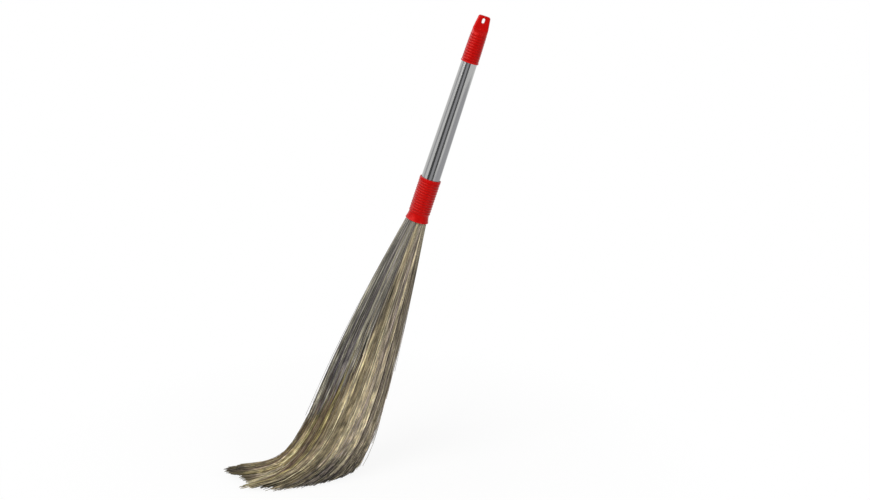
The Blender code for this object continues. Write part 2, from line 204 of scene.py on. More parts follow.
world = bpy.data.worlds.new("white_room")
bpy.context.scene.world = world
world.use_nodes = True
room = world.node_tree
room_level = node(room, "MapRange", Value=seen_directly(room), To_Min=ROOM_LIGHT, To_Max=1.0)
set_inputs(
    room, room.nodes["Background"], Color=(1, 1, 1, 1), Strength=room_level.outputs["Result"])


def soft_lamp(name, place, size, power):
    """A square area lamp at a place, turned to the broom."""
    data = bpy.data.lights.new(name, "AREA")
    data.size = size
    data.energy = power
    lamp = bpy.data.objects.new(name, data)
    lamp.location = place
    lamp.rotation_euler = (LAMPS_AIM - Vector(place)).to_track_quat("-Z", "Y").to_euler()
    bpy.context.scene.collection.objects.link(lamp)


soft_lamp("key_lamp", (-1.7, -1.9, 2.3), 1.9, 76)
soft_lamp("fill_lamp", (2.2, -1.6, 1.4), 1.2, 24)

# %% [markdown]
# The floor is a round sheet of white paper, so bright that it seems to glow. Near
# the grass about a tenth of what the camera sees of it is real light and shade,
# which makes the soft shadow. Further out there is none, so its edge melts into
# the room.

# %% Lay the floor
FLOOR_REACH = 1.6
SHADOW_FADES_FROM, SHADOW_FADES_TO = 0.24, 0.75
GLOW_AT_GRASS = 0.89
floor_material, floor_tree, floor_shader = new_material("white_paper")
set_inputs(floor_tree, floor_shader, Base_Color=linear("FCFCFB"), Roughness=0.9)
floor_place = node(floor_tree, "TexCoord").outputs["Object"]
floor_away = node(floor_tree, "VectorMath", {"operation": "LENGTH"}, i0=floor_place)
floor_share = node(
    floor_tree, "MapRange", Value=floor_away.outputs["Value"],
    From_Min=SHADOW_FADES_FROM, From_Max=SHADOW_FADES_TO, To_Min=GLOW_AT_GRASS, To_Max=1.0)
floor_fac = node(
    floor_tree, "Math", TIMES, i0=seen_directly(floor_tree), i1=floor_share.outputs["Result"])
floor_white = node(floor_tree, "Emission", Color=(1, 1, 1, 1), Strength=1.0)
floor_mix = node(
    floor_tree, "MixShader", Fac=floor_fac.outputs[0],
    i1=floor_shader.outputs[0], i2=floor_white.outputs[0])
set_inputs(floor_tree, floor_tree.nodes["Material Output"], Surface=floor_mix.outputs[0])
bm = bmesh.new()
bmesh.ops.create_circle(bm, cap_ends=True, segments=64, radius=FLOOR_REACH)
new_object("floor", bm, floor_material)
print("floor laid")

# %% [markdown]
# ## Grey cards for the steel
# Polished steel has no look of its own: it shows the room. In an all-white room a
# tube looks like chalk. Photographers stand grey and dark cards round the object,
# and the steel shows each one as a line along the tube. A card has a set level,
# from 0 for black to 1 for white, and only gloss sees it. The last row is no grey
# card but a bright panel high up at the left, for the red plastic's highlights.

# %% Stand the cards
# Each row has the first and last bearing in degrees from the front, how far away
# the card is, its foot, its top and its level.
CARDS = (
    (-104, -80, 1.5, 0.0, 1.6, 0.62),
    (-48, -21, 1.5, 0.0, 1.6, 0.10),
    (-21, 6, 1.5, 0.0, 1.6, 0.50),
    (6, 25, 1.5, 0.0, 1.6, 0.14),
    (25, 52, 0.9, 0.0, 0.28, 0.72),
    (52, 140, 0.9, 0.0, 0.45, 0.62),
    (-150, 8, 1.45, 1.30, 2.6, 5.0),
)
CARD_BLUE = 1.05


def stand_card(name, first, last, away, foot, top, level):
    """A bent card that glows at its level and shows in gloss alone."""
    material, tree, _ = new_material(name)
    glow = node(tree, "Emission", Color=(level, level, level * CARD_BLUE, 1), Strength=1.0)
    set_inputs(tree, tree.nodes["Material Output"], Surface=glow.outputs[0])
    bm = bmesh.new()
    bearing = math.radians(first)
    start = bm.verts.new((away * math.sin(bearing), -away * math.cos(bearing), foot))
    upper = bm.verts.new((start.co.x, start.co.y, top))
    side = bm.edges.new((start, upper))
    bmesh.ops.spin(
        bm, geom=[start, upper, side], axis=(0, 0, 1), cent=(0, 0, 0),
        angle=math.radians(last - first), steps=12)
    bmesh.ops.translate(bm, vec=(mouth.x, mouth.y, 0), verts=bm.verts)
    card = new_object(name, bm, material)
    for rays in ("camera", "diffuse", "shadow", "transmission", "volume_scatter"):
        setattr(card, f"visible_{rays}", False)


for number, row in enumerate(CARDS):
    stand_card(f"grey_card_{number}", *row)
print(len(CARDS), "cards")

# %% [markdown]
# ## Red moulded plastic
# The cap and the collar are injection-moulded polypropylene: a soft, waxy red
# with a broad highlight. One flat colour would look computed, since moulded plastic
# is never quite even, so its roughness and its surface vary a little over a few
# millimetres. Its highlights are tinted red and not white. Its grooves also get
# painted shade: their colour darkens with their depth, on top of their real shade.

# %% Polypropylene, moulded
# Patterns per metre: clouds about 11 mm wide, and a grain of 1.4 mm, which is
# coarser than a mould's real grain so that it shows.
RED_CLOUDS, RED_GRAINS = 90.0, 700.0
# How much painted shade the deepest groove gets.
GROOVE_PAINTED_SHADE = 0.40
red_plastic, red_tree, red_shader = new_material("polypropylene_moulded_red")
red_place = node(red_tree, "TexCoord").outputs["Object"]
red_cloud = node(
    red_tree, "TexNoise", Vector=red_place, Scale=RED_CLOUDS, Detail=3.0).outputs["Fac"]
red_colour = node(
    red_tree, "Mix", COLOURS, Factor=red_cloud, A=linear("AC0A09"), B=linear("BA0E0C"))
# Painted shade: the red darkens towards 620403 with the depth of a groove.
groove = node(red_tree, "Attribute", {"attribute_name": "groove"})
groove_painted_shade = node(red_tree, "Math", TIMES, i0=groove.outputs["Fac"], i1=GROOVE_PAINTED_SHADE)
red_with_painted_shade = node(
    red_tree, "Mix", COLOURS, Factor=groove_painted_shade.outputs[0],
    A=red_colour.outputs["Result"], B=linear("620403"))
red_gloss = node(red_tree, "MapRange", Value=red_cloud, To_Min=0.24, To_Max=0.36)
red_grain = node(red_tree, "TexNoise", Vector=red_place, Scale=RED_GRAINS, Detail=2.0)
red_bump = node(
    red_tree, "Bump", Height=red_grain.outputs["Fac"], Strength=0.08, Distance=0.0004)
set_inputs(
    red_tree, red_shader, Base_Color=red_with_painted_shade.outputs["Result"],
    Roughness=red_gloss.outputs["Result"], Normal=red_bump.outputs["Normal"],
    IOR=1.49, Specular_IOR_Level=0.30, Specular_Tint=(1.0, 0.12, 0.10, 1.0))
RED = (red_plastic, "red_plastic")
print("material", red_plastic.name)

# %% [markdown]
# ## Polished steel
# The tube is thin stainless steel, polished by drawing it through a ring. That
# leaves fine lines along it. They could come from a picture, but a noise that is
# stretched along the tube never repeats. Such a tube is also never perfectly
# round, which bends the dark lines that it shows, so a slow bump does that here.

# %% Stainless steel, drawn and polished
# Patterns per metre: drawn lines about 1.1 mm apart, coarser than the real ones so
# that they show, and 50 times as long, and waves of 22 mm, 4 times as long.
DRAWN_LINES, DRAWN_OUT = 900.0, (1, 1, 0.02)
TUBE_WAVES, WAVES_OUT = 45.0, (1, 1, 0.25)
steel, steel_tree, steel_shader = new_material("stainless_steel_drawn_polished")
on_tube = node(
    steel_tree, "Mapping", {"vector_type": "TEXTURE"},
    Vector=node(steel_tree, "TexCoord").outputs["Object"],
    Location=mouth, Rotation=(0, HANDLE_LEAN, 0)).outputs["Vector"]
long_lines = node(steel_tree, "Mapping", Vector=on_tube, Scale=DRAWN_OUT)
drawn = node(
    steel_tree, "TexNoise", Vector=long_lines.outputs["Vector"],
    Scale=DRAWN_LINES, Detail=2.0).outputs["Fac"]
steel_colour = node(
    steel_tree, "Mix", COLOURS, Factor=drawn, A=linear("A2A2A0"), B=linear("BDBDBC"))
steel_gloss = node(steel_tree, "MapRange", Value=drawn, To_Min=0.08, To_Max=0.15)
waves = node(steel_tree, "Mapping", Vector=on_tube, Scale=WAVES_OUT)
out_of_round = node(
    steel_tree, "TexNoise", Vector=waves.outputs["Vector"], Scale=TUBE_WAVES, Detail=0.0)
steel_bump = node(
    steel_tree, "Bump", Height=out_of_round.outputs["Fac"], Strength=0.35, Distance=0.0006)
set_inputs(
    steel_tree, steel_shader, Base_Color=steel_colour.outputs["Result"], Metallic=1.0,
    Roughness=steel_gloss.outputs["Result"], Normal=steel_bump.outputs["Normal"])
print("material", steel.name)

# %% [markdown]
# ## Zinc-coated wire
# The wire that ties the grass is out of sight in the collar, but it still gets
# its finish: dull grey zinc with a faint spangle, which is a pattern of cells. Its
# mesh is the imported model's own, because nothing on it needs to be finer.

# %% Steel wire, galvanised
ZINC_SPANGLES = 900.0  # per metre, so a spangle is about 1.1 mm wide
zinc, zinc_tree, zinc_shader = new_material("steel_wire_galvanised")
zinc_place = node(zinc_tree, "TexCoord").outputs["Object"]
spangle = node(zinc_tree, "TexVoronoi", Vector=zinc_place, Scale=ZINC_SPANGLES)
zinc_colour = node(
    zinc_tree, "Mix", COLOURS, Factor=spangle.outputs["Distance"],
    A=linear("9A9B98"), B=linear("B4B5B1"))
set_inputs(
    zinc_tree, zinc_shader, Base_Color=zinc_colour.outputs["Result"], Metallic=1.0, Roughness=0.45)
wire_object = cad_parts["binding_wire"]
wire_object.data.materials.clear()
wire_object.data.materials.append(zinc)
print("material", zinc.name)

# %% [markdown]
# ## The collar
# One sleeve, turned about its axis: a flared mouth that holds the grass, twelve
# soft ribs for the fingers and a plain band at the top. It could be cut and scaled
# from a cylinder by hand. But a shape that is round all the way is exact, and easy
# to change, when it is spun from its outline, drawn once as (radius, height).

# %% Draw and spin outlines
FIT_GAP = 0.0003
RIB_STEPS = 8
RIB_FULLNESS, GROOVE_FADE = 0.9, 0.6
# A place this far inside the grooves' radius is no longer on the ribbed outside.
SKIN = 0.0001


def rib_outline(start, pitch, count, radius_at, height):
    """Soft ribs: each one rises steeply from its groove to a rounded crest."""
    points = []
    for number in range(count * RIB_STEPS + 1):
        at = start + number * pitch / RIB_STEPS
        swell = abs(math.sin(math.pi * number / RIB_STEPS)) ** RIB_FULLNESS
        points.append((radius_at(at) + height * swell, at))
    return points


def rounded_lip(outer, inner, height, side, steps=6):
    """A half circle that closes the wall at one end. Side is 1 at the top and -1 at the foot."""
    middle, half = (outer + inner) / 2, (outer - inner) / 2
    points = []
    for step in range(steps + 1):
        turn = math.pi * step / steps
        rise = side * half * (math.sin(turn) - 1)
        points.append((middle + half * math.cos(turn), height + rise))
    return points


def mark_grooves(bm, depth_at):
    """Stores each corner's groove depth, from 0 to 1, for painted shade, while the axis is still
    upright.
    """
    groove = bm.verts.layers.float.new("groove")
    for corner in bm.verts:
        depth = depth_at(math.hypot(corner.co.x, corner.co.y), corner.co.z)
        corner[groove] = clamp(depth) ** GROOVE_FADE


def spun(outline, segments, depth_at=None):
    """Spins a closed outline about the handle's axis and sets it on the handle."""
    bm = bmesh.new()
    corners = [bm.verts.new((radius, 0, height)) for radius, height in outline]
    edges = [bm.edges.new(pair) for pair in zip(corners, corners[1:] + corners[:1])]
    bmesh.ops.spin(
        bm, geom=corners + edges, axis=(0, 0, 1), cent=(0, 0, 0),
        angle=math.tau, steps=segments, use_merge=True)
    bmesh.ops.recalc_face_normals(bm, faces=bm.faces)
    if depth_at:
        mark_grooves(bm, depth_at)
    bmesh.ops.transform(bm, matrix=ON_HANDLE, verts=bm.verts)
    return bm


# %% Turn the collar
COLLAR_LENGTH = 0.088
COLLAR_RADIUS = 0.0204
COLLAR_MOUTH_RADIUS = 0.0235
COLLAR_FLARE = 0.0160
COLLAR_BAND = 0.0075
COLLAR_BAND_STEP = 0.0008
COLLAR_RIB_PITCH = 0.0054
COLLAR_RIB_HEIGHT = 0.0010
COLLAR_RIBS = 12
COLLAR_WALL = 0.0016
COLLAR_BORE = TUBE_RADIUS + FIT_GAP
MOUTH_BORE = COLLAR_MOUTH_RADIUS - COLLAR_WALL


def flared(height, radius, opened):
    """The radius at a height, which opens towards the mouth."""
    share = max(0.0, 1 - height / COLLAR_FLARE)
    return radius + (opened - radius) * (1 - math.cos(share * math.pi / 2))


flare_heights = [COLLAR_FLARE * step / 10 for step in range(1, 11)]
ribs_end = COLLAR_LENGTH - COLLAR_BAND
ribs_start = ribs_end - COLLAR_RIBS * COLLAR_RIB_PITCH
collar_crest = COLLAR_RADIUS + COLLAR_RIB_HEIGHT
collar_outline = [(flared(at, COLLAR_RADIUS, COLLAR_MOUTH_RADIUS), at) for at in flare_heights]
collar_outline += rib_outline(
    ribs_start, COLLAR_RIB_PITCH, COLLAR_RIBS, lambda at: COLLAR_RADIUS, COLLAR_RIB_HEIGHT)
collar_outline.append((collar_crest, ribs_end + COLLAR_BAND_STEP))
collar_outline += rounded_lip(collar_crest, COLLAR_BORE, COLLAR_LENGTH, 1)
collar_outline += [(flared(at, COLLAR_BORE, MOUTH_BORE), at) for at in reversed(flare_heights)]
collar_outline += reversed(rounded_lip(COLLAR_MOUTH_RADIUS, MOUTH_BORE, 0, -1))


def collar_groove(radius, height):
    """How deep a place lies in a groove of the collar. A place off the ribs has no depth."""
    ribbed = ribs_start <= height <= ribs_end and radius > COLLAR_RADIUS - SKIN
    return (collar_crest - radius) / COLLAR_RIB_HEIGHT if ribbed else 0


finish_piece("collar_sleeve", spun(collar_outline, 96, collar_groove), RED, "collar")

# %% [markdown]
# ## The tube
# It is straight inside the collar and then narrows evenly, so that the cap can be
# pushed on its thin end. A cone with a Solidify modifier would give the taper and
# the wall, but not the straight foot, so the tube is spun from its outline too.

# %% Turn the tube
TUBE_WALL = 0.0007
TUBE_TOP_RADIUS = 0.01545
TUBE_SHOWN = 0.238
TUBE_IN_CAP = 0.026
CAP_RIM_AT = COLLAR_LENGTH + TUBE_SHOWN


def tube_outside(height):
    """The tube's outer radius at a height over the mouth."""
    climbed = max(0.0, height - COLLAR_LENGTH)
    return TUBE_RADIUS - (TUBE_RADIUS - TUBE_TOP_RADIUS) * climbed / TUBE_SHOWN


tube_end = CAP_RIM_AT + TUBE_IN_CAP
tube_heights = [TUBE_FOOT + (tube_end - TUBE_FOOT) * step / 24 for step in range(25)]
tube_outline = [(tube_outside(at), at) for at in tube_heights]
tube_outline += [(tube_outside(at) - TUBE_WALL, at) for at in reversed(tube_heights)]
finish_piece("tube_skin", spun(tube_outline, 128), (steel, "polished_steel"), "handle_tube")

# %% [markdown]
# ## The hang cap
# Its foot is round and ribbed, and its head is pressed flat into a tab with a slot
# for a nail. A box with a Subdivision Surface modifier would give the soft head but
# would blur the ribs. So it is lofted: one ring is extruded again and again, and
# each new ring takes the outline that belongs at its height.

# %% Size the cap
CAP_LENGTH = 0.0915
CAP_RIM_RADIUS = 0.0176
CAP_RIM_HEIGHT = 0.0040
CAP_RIM_ROUND = 0.0008
CAP_FOOT_RADIUS = 0.0165
CAP_HEAD_RADIUS = 0.0153
CAP_NARROWING = 1.5
CAP_RIB_HEIGHT = 0.0004
CAP_RIB_PITCH = 0.0053
CAP_RIBS = 10
TAB_WIDTH = 0.0300
TAB_TOP_WIDTH = 0.0240
TAB_THICKNESS = 0.0092
TAB_CORNER = 0.0040
TAB_CROWN = 0.0042
rib_top = CAP_RIM_HEIGHT + CAP_RIBS * CAP_RIB_PITCH


def cap_outside(height):
    """The radius of the cap's grooves, which narrows towards the head."""
    share = min(1.0, height / rib_top)
    return CAP_FOOT_RADIUS - (CAP_FOOT_RADIUS - CAP_HEAD_RADIUS) * share**CAP_NARROWING


print("the cap's ribs end", round(rib_top, 4), "above its foot")

# %% Loft through rings
RING_CORNERS = 96


def ring(height, half_x, half_y, corner):
    """A rounded rectangle with even arcs at its corners. It is a circle when all three agree."""
    per_corner = RING_CORNERS // 4
    points = []
    for number in range(RING_CORNERS):
        quarter = number // per_corner
        middle = (quarter + 0.5) * math.pi / 2
        turn = (quarter + (number % per_corner + 0.5) / per_corner) * math.pi / 2
        x = math.copysign(half_x - corner, math.cos(middle)) + corner * math.cos(turn)
        y = math.copysign(half_y - corner, math.sin(middle)) + corner * math.sin(turn)
        points.append((x, y, height))
    return points


def round_ring(radius, height):
    return ring(height, radius, radius, radius)


def lofted(rings):
    """A closed skin through the rings. Each corner keeps its number from ring to ring."""
    bm = bmesh.new()
    number = bm.verts.layers.int.new("number")
    first = bmesh.ops.create_circle(bm, cap_ends=True, segments=len(rings[0]), radius=1)["verts"]
    for at, corner in enumerate(first):
        corner[number] = at
        corner.co = rings[0][at]
    edges = list(bm.edges)
    for places in rings[1:]:
        made = bmesh.ops.extrude_edge_only(bm, edges=edges)["geom"]
        edges = [part for part in made if isinstance(part, bmesh.types.BMEdge)]
        for corner in (part for part in made if isinstance(part, bmesh.types.BMVert)):
            corner.co = places[corner[number]]
    bmesh.ops.contextual_create(bm, geom=edges)
    bmesh.ops.recalc_face_normals(bm, faces=bm.faces)
    return bm


def eased(share):
    """A share from 0 to 1 that starts and ends gently."""
    return share * share * (3 - 2 * share)


# %% [markdown]
# The rings start inside the cap, at the roof of its hollow, and go down its bore
# to the rim. A ledge in the bore is where the tube's end stops. Then they go up
# the outside, over the ribs, and end on the crown.

# %% List the cap's rings
ROOF_RADIUS, ROOF_BELOW_RIBS = 0.0110, 0.004
LEDGE = 0.0014
BORE_FOOT = 0.0004
RIM_TOP, RIM_EDGE, RIM_EDGE_SLOPE = 0.0022, 0.0030, 0.0004
FLATTENED_BY = 0.27
CROWN_EDGE = 0.0003
bore = tube_outside(CAP_RIM_AT) + FIT_GAP
seat = tube_outside(CAP_RIM_AT + TUBE_IN_CAP) + FIT_GAP
ledge_at = TUBE_IN_CAP + FIT_GAP
cap_rings = [round_ring(ROOF_RADIUS, rib_top - ROOF_BELOW_RIBS), round_ring(seat - LEDGE, ledge_at)]
cap_rings += [round_ring(seat, ledge_at), round_ring(bore, BORE_FOOT)]
for turn in (0, 30, 60, 90):
    inward = CAP_RIM_ROUND * (1 - math.sin(math.radians(turn)))
    cap_rings.append(round_ring(
        CAP_RIM_RADIUS - inward, CAP_RIM_ROUND * (1 - math.cos(math.radians(turn)))))
cap_rings.append(round_ring(CAP_RIM_RADIUS, RIM_TOP))
cap_rings.append(round_ring(CAP_RIM_RADIUS - RIM_EDGE_SLOPE, RIM_EDGE))
for radius, height in rib_outline(
        CAP_RIM_HEIGHT, CAP_RIB_PITCH, CAP_RIBS, cap_outside, CAP_RIB_HEIGHT):
    cap_rings.append(round_ring(radius, height))
flat_at = rib_top + FLATTENED_BY * (CAP_LENGTH - rib_top)
for step in range(1, 13):
    share = step / 12
    half_x = CAP_HEAD_RADIUS + (TAB_WIDTH / 2 - CAP_HEAD_RADIUS) * share
    half_y = CAP_HEAD_RADIUS + (TAB_THICKNESS / 2 - CAP_HEAD_RADIUS) * eased(share)
    corner = CAP_HEAD_RADIUS + (TAB_CORNER - CAP_HEAD_RADIUS) * eased(share)
    height = rib_top + (flat_at - rib_top) * share
    cap_rings.append(ring(height, half_x, half_y, min(half_x, half_y, corner)))
crown_at = CAP_LENGTH - TAB_CROWN
for step in range(1, 7):
    share = step / 6
    half_x = (TAB_WIDTH + (TAB_TOP_WIDTH - TAB_WIDTH) * share) / 2
    height = flat_at + (crown_at - flat_at) * share
    cap_rings.append(ring(height, half_x, TAB_THICKNESS / 2, TAB_CORNER))
for step in range(1, 9):
    swing = step / 8 * math.pi / 2
    half_x = TAB_TOP_WIDTH / 2 - TAB_CROWN * (1 - math.cos(swing))
    half_y = TAB_THICKNESS / 2 - TAB_CROWN / 2 * (1 - math.cos(swing))
    height = CAP_LENGTH - TAB_CROWN * (1 - math.sin(swing))
    cap_rings.append(ring(height, half_x, half_y, min(TAB_CORNER, half_y - CROWN_EDGE)))
print(len(cap_rings), "rings")

# %% [markdown]
# The slot could be modelled face by face, but a Boolean modifier only needs the
# shape that is taken away. Three blocks cut the blank of the cap: one goes right
# through for the slot, and two shallow ones sink its surround on both faces.

# %% Cut the slot
SLOT_WIDTH, SLOT_LENGTH = 0.0054, 0.0098
SUNK_WIDTH, SUNK_LENGTH, SUNK_DEPTH = 0.0078, 0.0126, 0.0009
SLOT_BELOW_TOP = 0.0096
THROUGH = 0.02


def slot_block(width, length, depth, middle_y):
    """A block with round ends, as a cutter for the slot or its sunk surround."""
    bm = bmesh.new()
    bmesh.ops.create_circle(bm, cap_ends=True, segments=48, radius=width / 2)
    for corner in bm.verts:
        corner.co.y += math.copysign((length - width) / 2, corner.co.y)
    grown = bmesh.ops.extrude_face_region(bm, geom=bm.faces[:], use_keep_orig=True)["geom"]
    raised = [part for part in grown if isinstance(part, bmesh.types.BMVert)]
    bmesh.ops.translate(bm, vec=(0, 0, depth), verts=raised)
    bmesh.ops.recalc_face_normals(bm, faces=bm.faces)
    to_slot = Matrix.Translation((0, middle_y + depth / 2, CAP_LENGTH - SLOT_BELOW_TOP))
    upright = Matrix.Rotation(math.radians(90), 4, "X")
    bmesh.ops.transform(bm, matrix=to_slot @ upright, verts=bm.verts)
    return new_object("slot_block", bm)


def cap_groove(radius, height):
    """How deep a place lies in a groove of the cap. A place off the ribs has no depth."""
    ribbed = CAP_RIM_HEIGHT <= height <= rib_top and radius > cap_outside(height) - SKIN
    return 1 - (radius - cap_outside(height)) / CAP_RIB_HEIGHT if ribbed else 0


bm = lofted(cap_rings)
mark_grooves(bm, cap_groove)
cap_blank = new_object("cap_blank", bm)
blocks = [slot_block(SLOT_WIDTH, SLOT_LENGTH, THROUGH, 0)]
for face_y in (-TAB_THICKNESS / 2, TAB_THICKNESS / 2):
    blocks.append(slot_block(SUNK_WIDTH, SUNK_LENGTH, 2 * SUNK_DEPTH, face_y))
for block in blocks:
    cut = cap_blank.modifiers.new("cut", "BOOLEAN")
    cut.operation = "DIFFERENCE"
    cut.solver = "EXACT"
    cut.object = block
bpy.context.view_layer.update()
cut_blank = cap_blank.evaluated_get(bpy.context.evaluated_depsgraph_get())
bm = bmesh.new()
bm.from_mesh(bpy.data.meshes.new_from_object(cut_blank))
to_rim = Matrix.Translation((0, 0, CAP_RIM_AT))
bmesh.ops.transform(bm, matrix=ON_HANDLE @ to_rim, verts=bm.verts)
for block in blocks + [cap_blank]:
    bpy.data.objects.remove(block, do_unlink=True)
finish_piece("cap_shell", bm, RED, "hang_cap", sharp_angle=38)

# %% [markdown]
# ## Dry grass
# Broom grass dries to many colours, from mauve-grey and brown to olive and pale
# straw, and each stem keeps its own. Its smooth skin catches a little light, and
# it is mottled along its length. A picture of grass would stretch and repeat, so
# every strand carries five numbers, and its material makes the pattern from them:
#
# - hue, from 0 to 1, picks its colour from a ramp
# - tone, from 0 for dark to 1 for pale, sets how light it is
# - along, from 0 at the collar to 1 at the floor
# - kin is the same for all the strands of a lock, so that they share their spots
# - side is the strand's place across the fan, so that the bands cross many locks

# %% Patches and tints
def patches(tree, across, along, lowest, highest):
    """A level that varies in soft patches, from the lowest to the highest."""
    place = node(tree, "CombineXYZ", X=across.outputs[0], Y=along.outputs[0])
    cloud = node(tree, "TexNoise", Vector=place.outputs[0], Scale=1.0, Detail=2.0)
    level = node(
        tree, "MapRange", Value=cloud.outputs["Fac"],
        From_Min=0.3, From_Max=0.7, To_Min=lowest, To_Max=highest)
    return level.outputs["Result"]


def turned(tree, colour, hex_colour, word, start):
    """The colour, which turns to another one, up to 60%, as a word grows from start to 1."""
    share = node(tree, "MapRange", Value=word, From_Min=start, From_Max=1.0, To_Min=0.0, To_Max=0.6)
    mixed = node(
        tree, "Mix", COLOURS, Factor=share.outputs["Result"], A=colour, B=linear(hex_colour))
    return mixed.outputs["Result"]


# %% Broom grass, dried
STRAND_WORDS = ("hue", "tone", "along", "kin", "side")
# A fan is 0.58 m long, so a spot is about 22 mm long, and a band about 28 mm.
SPOTS_ALONG, BANDS_ALONG = 26.0, 21.0
BANDS_ACROSS = 17.0
KIN_APART = 900.0


def grass_material(name, hues, tip_hex, tip_start):
    """Dried grass, with its hex colours in a row. Its tips turn to their own colour."""
    material, tree, shader = new_material(name)
    words = [node(tree, "Attribute", {"attribute_name": word}) for word in STRAND_WORDS]
    hue, tone, along, kin, side = (word.outputs["Fac"] for word in words)
    ramp = node(tree, "ValToRGB", Fac=hue)
    steps = ramp.color_ramp.elements
    while len(steps) < len(hues):
        steps.new(0.5)
    for number, hex_colour in enumerate(hues):
        steps[number].position = number / (len(hues) - 1)
        steps[number].color = linear(hex_colour)
    stem_at = node(tree, "Math", {"operation": "MULTIPLY_ADD"}, i0=kin, i1=KIN_APART, i2=hue)
    spot_at = node(tree, "Math", TIMES, i0=along, i1=SPOTS_ALONG)
    band_side = node(tree, "Math", TIMES, i0=side, i1=BANDS_ACROSS)
    band_along = node(tree, "Math", TIMES, i0=along, i1=BANDS_ALONG)
    spots = patches(tree, stem_at, spot_at, 0.56, 1.60)
    bands = patches(tree, band_side, band_along, 0.55, 1.45)
    pale = node(tree, "MapRange", Value=tone, To_Min=0.06, To_Max=1.62)
    mottled = node(tree, "Math", TIMES, i0=spots, i1=bands)
    level = node(tree, "Math", TIMES, i0=mottled.outputs[0], i1=pale.outputs["Result"])
    tipped = turned(tree, ramp.outputs["Color"], tip_hex, along, tip_start)
    bleached = turned(tree, tipped, "C8C2A2", tone, 0.7)
    coloured = node(
        tree, "VectorMath", {"operation": "SCALE"}, i0=bleached, Scale=level.outputs[0])
    set_inputs(
        tree, shader, Base_Color=coloured.outputs["Vector"],
        Roughness=0.62, IOR=1.45, Specular_IOR_Level=0.35)
    return material


# %% [markdown]
# The photograph shows straw at the front, a pale mauve at the right, russet in the
# tuft, a weathered grey at the left and olive between them. A ramp of hex colours
# for each is easier to match to a photograph than one ramp for all.

# %% Mix the grass colours
GRASSES = (
    ("straw", ("84736C", "988672", "AB9C7A", "BCAE88", "CEC29E"), "988C6E", 0.8),
    ("mauve", ("AEA09A", "C2B3A6", "D2C4A8", "E0D3B0", "E8DEBA"), "A69E88", 0.8),
    ("olive", ("8C846E", "A69A76", "B8AE82", "C6BA90"), "A09872", 0.75),
    ("russet", ("76625C", "88705A", "988858", "A89C66"), "565440", 0.80),
    ("grey", ("787076", "888084", "969288", "A29E8E", "B6AE96"), "A49C86", 0.6),
)
straw, mauve, olive, russet, grey = (
    grass_material("broom_grass_dried_" + colour, hues, tip_hex, tip_start)
    for colour, hues, tip_hex, tip_start in GRASSES)
print(len(GRASSES), "grass materials")

# %% [markdown]
# ## How the grass fans out
# A stem starts from its own place in the round pack, which is a share to the right
# and a share to the back, both from -1 to 1. From there it follows one cubic curve
# down to the floor. The curve's four steering points are spread wider and wider,
# so all the stems together make the fan. Hair could be combed into such a shape by
# hand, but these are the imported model's own values, so both fans agree.

# %% Steer the fan
PACK_RADIUS = 0.0184
PACK_HEIGHT = 0.0140
TIP_REACH = 0.261
FAN_WIDTH = 0.226
FAN_DEPTH = 0.159
TIP_FORWARD = 0.026
FRONT_SWEEP = 0.061
# Each row has a point's height, reach, width, depth, way forward, sweep of the
# front, and rise of the right side, as shares of the sizes above and of the
# mouth's height.
FAN_STATIONS = (
    (0.260, 0.647, 1.12, 0.54, 0.24, 0.00, 0.160),
    (0.067, 0.550, 0.44, 0.67, 0.81, -0.04, -0.034),
    (0.010, 1.000, 1.00, 1.00, 1.00, 1.00, -0.019),
)
GUIDE_STEPS = 1000


def steering_point(number, right, back):
    """One of the four steering points of a stem's curve."""
    if number == 0:
        return ON_HANDLE @ Vector((right * PACK_RADIUS, back * PACK_RADIUS, PACK_HEIGHT))
    height, reach, width, depth, forward, sweep, rise = FAN_STATIONS[number - 1]
    x = mouth.x - reach * TIP_REACH + right * width * FAN_WIDTH / 2 + back * sweep * FRONT_SWEEP
    y = mouth.y - forward * TIP_FORWARD + back * depth * FAN_DEPTH / 2
    return Vector((x, y, (height + rise * right) * mouth.z))


def on_curve(right, back, share):
    """A place on a stem's curve, from share 0 at the collar to 1 at the floor."""
    rest = 1 - share
    weights = (rest**3, 3 * rest**2 * share, 3 * rest * share**2, share**3)
    points = (weight * steering_point(at, right, back) for at, weight in enumerate(weights))
    return sum(points, Vector())


guides = []
for step in range(GUIDE_STEPS + 1):
    middle, right_stem, back_stem = (
        on_curve(*start, step / GUIDE_STEPS) for start in ((0, 0), (1, 0), (0, 1)))
    guides.append((middle, right_stem - middle, back_stem - middle))


def fan_place(right, back, share):
    """A place in the fan, from the middle stem and how far the fan spreads there."""
    middle, to_right, to_back = guides[round(share * GUIDE_STEPS)]
    return middle + right * to_right + back * to_back


print("tip of the middle stem", [round(v, 3) for v in fan_place(0, 0, 1)])

# %% [markdown]
# ## One strand
# Grass stems lie in locks: stems that grew on one head stay together. A lock
# drifts off its place a little and draws its stems in towards its tip, and
# each stem wanders on its own as well. That is what makes dark slits and pale
# streaks in the fan, instead of an even brush. A few stems stray outwards or are
# broken off short. At the left they gather into a tuft that lies on the floor.

# %% Set how strands wander
# Where the short grey layer over the front left ends, along the fan, and how far
# it still presses on the grass under it.
SHORT_END, SHORT_SLANT, SHORT_BEND = 0.26, 0.40, 0.15
LAP, LAP_FADES = 0.03, 0.12
# Drifts, waves and borders are shares of the pack's radius, so they grow with the fan.
LOCK_DRIFT, STEM_DRIFT = 0.075, 0.045
LOCK_CLOSING = 0.55
STEM_WAVE, STEM_WAVE_TURNS = 0.036, 9
LEAVING = 1.6
DRAWN_IN = 0.93
FLOOR_GAP = 0.0006
STRAND_LEVELS = (0.0, 0.07, 0.15, 0.24, 0.34, 0.45, 0.56, 0.67, 0.78, 0.89, 1.0)
# Strays: how many there are, and how far and how rarely they reach outwards.
STRAY_SHARE = 0.14
STRAY_DRIFT = 0.06
STRAY_REACH = 0.165
STRAY_LEAST, STRAY_RARITY = 0.15, 1.6
STRAY_BEND = 1.35
